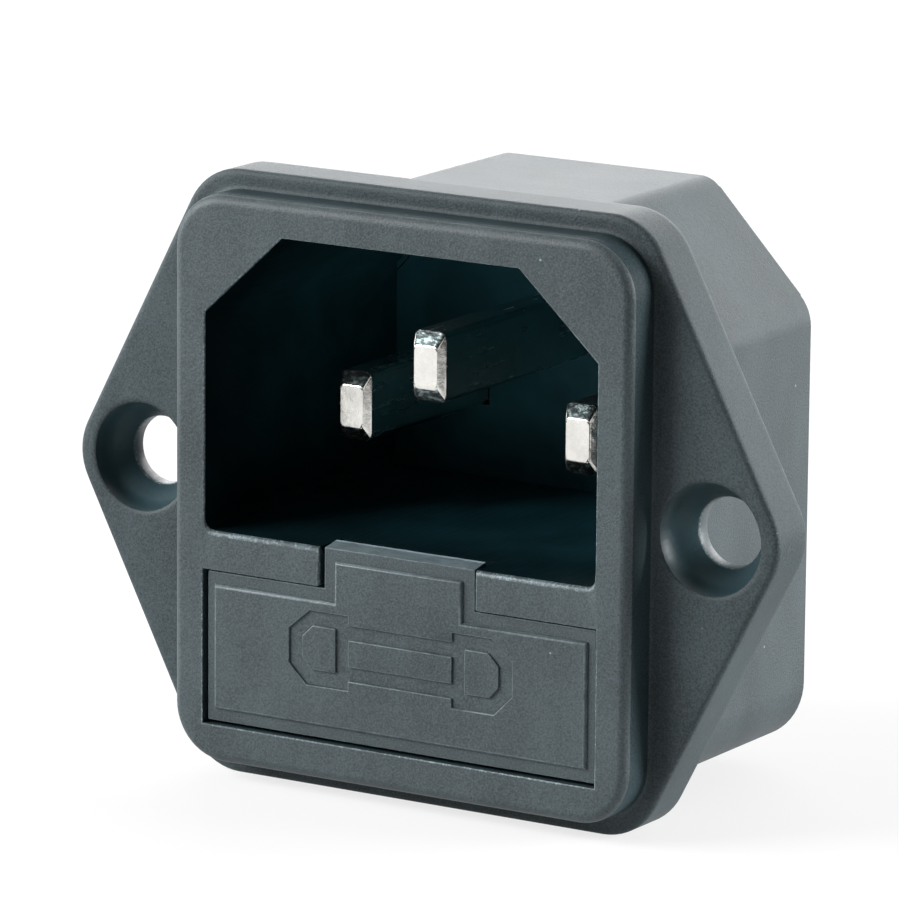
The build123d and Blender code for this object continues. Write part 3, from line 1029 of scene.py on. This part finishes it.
def bell(x, middle, width):
    """Smooth hump of height 1 about the middle."""
    return np.exp(-(((x - middle) / width) ** 2))


def cap_mesh(node, side, look):
    """End cap turned about the fuse's axis: closed end with a soft corner, rolled groove, open rim.

    The profile runs from the centre of the outer face over the corner, along the side with two grooves,
    round the open rim and back inside to the centre of the inner face.
    """
    low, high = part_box(node)
    middle = (low + high) / 2
    radius = (high.z - low.z) / 2
    length = high.x - low.x
    wall = 0.15 * MM
    floor = 0.4 * MM
    corner = 0.35 * MM
    bend = np.linspace(0, np.pi / 2, CORNER_STEPS)
    round_x = corner * (1 - np.cos(bend))
    round_r = radius - corner * (1 - np.sin(bend))
    side_x = np.linspace(corner, length - wall, CAP_STEPS)
    deep_groove = bell(side_x, length * 0.42, 0.3 * MM)
    shallow_groove = 0.8 * bell(side_x, length * 0.78, 0.25 * MM)
    side_r = radius - look.crimp * (deep_groove + shallow_groove)
    rim = np.linspace(0, np.pi, CORNER_STEPS)
    rim_x = length - wall / 2 + wall / 2 * np.sin(rim)
    rim_r = radius - wall / 2 + wall / 2 * np.cos(rim)
    profile_x = np.concatenate([[0, 0], round_x[1:], side_x[1:], rim_x, [floor, floor]])
    profile_r = np.concatenate([[0, radius - corner], round_r[1:], side_r[1:], rim_r, [radius - wall, 0]])
    outwards = -1 if side == "left" else 1
    x = outwards * (length / 2 - profile_x)
    profile = np.stack([x, profile_r], axis=-1)
    return lathe(node + "_mesh", profile, look.steps, middle.x, middle.y, middle.z)


def element_mesh(node):
    """Thin fuse wire: a shallow arc between the caps, thickening into a bead of solder at each end."""
    low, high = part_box(node)
    middle = (low + high) / 2
    half = (high.x - low.x) / 2
    sag = 0.3 * MM
    wire_radius = 0.07 * MM
    bead_height = 0.75 * MM
    bead_width = 0.06
    along = np.linspace(-1, 1, WIRE_STEPS)
    drop = sag * (1 - along**2)
    path = np.stack([middle.x + along * half, np.full_like(along, middle.y), middle.z - drop], axis=-1)
    radius = wire_radius + bead_height * bell(np.abs(along), 1, bead_width)
    radius[[0, -1]] = 0.0
    return wire(node + "_mesh", path, radius, WIRE_FACETS)


class INLET_OT_studio(bpy.types.Operator):
    """Sets the pale floor, the soft lamps and the camera"""

    bl_idname = "inlet.studio"
    bl_label = "Studio"

    def execute(self, context):
        look = context.scene.inlet_studio
        make_floor(look)
        make_world(look)
        soft_lamp("Key lamp", look.key_power, size=(0.28, 0.2), place=(-0.28, -0.23, 0.2))
        soft_lamp("Left lamp", look.left_power, size=(0.2, 0.3), place=(-0.5, -0.1, 0.12))
        soft_lamp("Side lamp", look.side_power, size=(0.36, 0.3), place=(0.64, 0.34, 0.17))
        soft_lamp("Back lamp", look.back_power, size=(0.8, 0.4), place=(-0.15, 0.6, 0.24))
        make_card()
        make_camera()
        context.scene.view_settings.view_transform = "Standard"
        return {"FINISHED"}


def make_floor(look):
    """Large square at the object's lowest point, shown nearly white, with the object's shadow on it."""
    s = Shader("Studio floor")
    mottle = s.noise(20.0 * MM, 3.0)
    colour = s.blend(mottle, tone(look.floor_colour, 0.985), rgba(look.floor_colour))
    colour = s.blend(s.ray("Diffuse"), colour, tone(look.floor_colour, look.bounce))
    plain = s.surface(Base_Color=colour, Roughness=0.8)
    glow = s.add("ShaderNodeEmission", {"Color": WHITE, "Strength": 1.0})
    white = s.ray("Camera") * FLOOR_WHITE + s.ray("Glossy") * FLOOR_WHITE
    floor = s.add("ShaderNodeMixShader", {0: white, 1: plain, 2: glow})
    low = cad_box[0][2]
    left, right = -FLOOR_HALF, FLOOR_HALF
    corners = [(left, left, low), (right, left, low), (right, right, low), (left, right, low)]
    mesh = bpy.data.meshes.new("floor")
    mesh.from_pydata(corners, [], [(0, 1, 2, 3)])
    mesh.materials.append(s.finish(floor))
    new_object("floor", mesh)


def make_card():
    """Black card to the right of the camera, which the camera doesn't see, against stray light."""
    s = Shader("Black card")
    fibre = s.noise(1.0 * MM, 3.0)
    colour = s.blend(fibre, rgba((0.004, 0.004, 0.004)), rgba((0.008, 0.008, 0.008)))
    low = cad_box[0][2]
    high = low + CARD_HEIGHT
    near, far = [(CARD_DISTANCE * math.sin(a), -CARD_DISTANCE * math.cos(a)) for a in CARD_TURNS]
    mesh = bpy.data.meshes.new("card")
    mesh.from_pydata([(*near, low), (*far, low), (*far, high), (*near, high)], [], [(0, 1, 2, 3)])
    mesh.materials.append(s.finish(s.surface(Base_Color=colour, Roughness=0.9)))
    card = new_object("card", mesh)
    card.visible_camera = False


def make_world(look):
    """Even surround: white to the camera, in reflections and through glass, softer as light."""
    s = Shader("Studio surround", "worlds")
    white = s.ray("Camera").math("MAXIMUM", s.ray("Glossy")).math("MAXIMUM", s.ray("Transmission"))
    strength = white * (1 - look.sky) + look.sky
    surround = s.add("ShaderNodeBackground", {"Color": WHITE, "Strength": strength})
    bpy.context.scene.world = s.finish(surround, "ShaderNodeOutputWorld")


def soft_lamp(name, power, size, place):
    """Rectangular area lamp that looks at the object. size is its width and height."""
    lamp = bpy.data.lights.new(name, "AREA")
    lamp.energy = power
    lamp.shape = "RECTANGLE"
    lamp.size, lamp.size_y = size
    lamp_object = bpy.data.objects.new(name, lamp)
    bpy.context.scene.collection.objects.link(lamp_object)
    lamp_object.location = place
    lamp_object.rotation_euler = (-Vector(place)).to_track_quat("-Z", "Y").to_euler()


def make_camera():
    """Camera at the place, turn and focal length of the one that took the photograph."""
    camera = bpy.data.cameras.new("Camera")
    camera.sensor_fit = "HORIZONTAL"
    camera.sensor_width = SENSOR_WIDTH
    camera.lens = SENSOR_WIDTH * FOCAL_PIXELS / IMAGE_WIDTH
    camera.clip_start = 0.01
    camera.clip_end = 20.0
    holder = bpy.data.objects.new("Camera", camera)
    bpy.context.scene.collection.objects.link(holder)
    right = Vector(CAMERA_RIGHT)
    up = Vector(CAMERA_UP)
    turn = Matrix((right, up, right.cross(up))).transposed()
    holder.matrix_world = Matrix.Translation(Vector(CAMERA_PLACE)) @ turn.to_4x4()
    bpy.context.scene.camera = holder


class INLET_PT_panel(bpy.types.Panel):
    """Lists the inlet's settings and operators"""

    bl_idname = "INLET_PT_panel"
    bl_label = "Power entry module"
    bl_space_type = "VIEW_3D"
    bl_region_type = "UI"
    bl_category = "Inlet"

    def draw(self, context):
        layout = self.layout
        for name, group in GROUPS.items():
            box = layout.box()
            settings = getattr(context.scene, name)
            for key in group.__annotations__:
                box.prop(settings, key)
        for operator in OPERATORS:
            layout.operator(operator.bl_idname)


GROUPS = {
    "inlet_moulding": InletMoulding,
    "inlet_metal": InletMetal,
    "inlet_fuse": InletFuse,
    "inlet_studio": InletStudio,
}
OPERATORS = (
    INLET_OT_housing,
    INLET_OT_drawer,
    INLET_OT_base,
    INLET_OT_contacts,
    INLET_OT_fuses,
    INLET_OT_studio,
)


def register():
    """Adds the settings, operators and panel."""
    for name, group in GROUPS.items():
        bpy.utils.register_class(group)
        setattr(bpy.types.Scene, name, PointerProperty(type=group))
    for item in (*OPERATORS, INLET_PT_panel):
        bpy.utils.register_class(item)


def unregister():
    """Takes the settings, operators and panel away again."""
    for item in reversed((*OPERATORS, INLET_PT_panel)):
        bpy.utils.unregister_class(item)
    for name, group in reversed(GROUPS.items()):
        delattr(bpy.types.Scene, name)
        bpy.utils.unregister_class(group)


def main():
    """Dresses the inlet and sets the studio."""
    register()
    bpy.ops.inlet.housing()
    bpy.ops.inlet.drawer()
    bpy.ops.inlet.base()
    bpy.ops.inlet.contacts()
    bpy.ops.inlet.fuses()
    bpy.ops.inlet.studio()
    bpy.context.view_layer.update()


if __name__ == "__main__":
    main()
